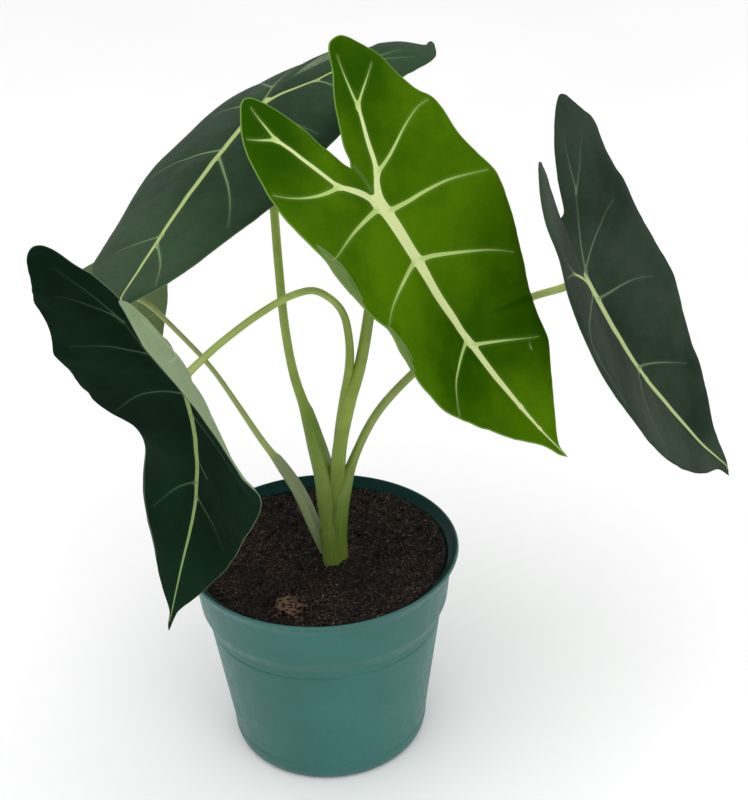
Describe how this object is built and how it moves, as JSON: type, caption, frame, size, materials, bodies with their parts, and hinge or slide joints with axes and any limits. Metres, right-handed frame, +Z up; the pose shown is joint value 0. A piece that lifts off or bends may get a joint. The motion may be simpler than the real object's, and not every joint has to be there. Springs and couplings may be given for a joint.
{
  "type": "potted frydek alocasia",
  "caption": "Alocasia with arrow-shaped velvety leaves and pale veins on long bare petioles, growing in potting mix in a tapered round plastic nursery pot with a rolled rim.",
  "frame": {"origin": "centre of the pot's flat underside", "axes": "+Z up, -Y towards the viewer of the plant's front, +X to the viewer's right"},
  "size_m": [0.2504, 0.1955, 0.2738],
  "materials": {
    "pot_plastic": "satin",
    "potting_mix": "matte",
    "petiole_green": "satin",
    "leaf_fresh": "satin",
    "leaf_dark": "matte"
  },
  "bodies": {
    "root": {"pot": "pot_plastic", "soil": "potting_mix", "petiole_front": "petiole_green", "blade_front": "leaf_fresh", "petiole_upper_left": "petiole_green", "blade_upper_left": "leaf_dark", "petiole_hanging": "petiole_green", "blade_hanging": "leaf_dark", "petiole_right": "petiole_green", "blade_right": "leaf_dark", "petiole_back_left": "petiole_green", "blade_back_left": "leaf_dark"}
  },
  "joints": []
}
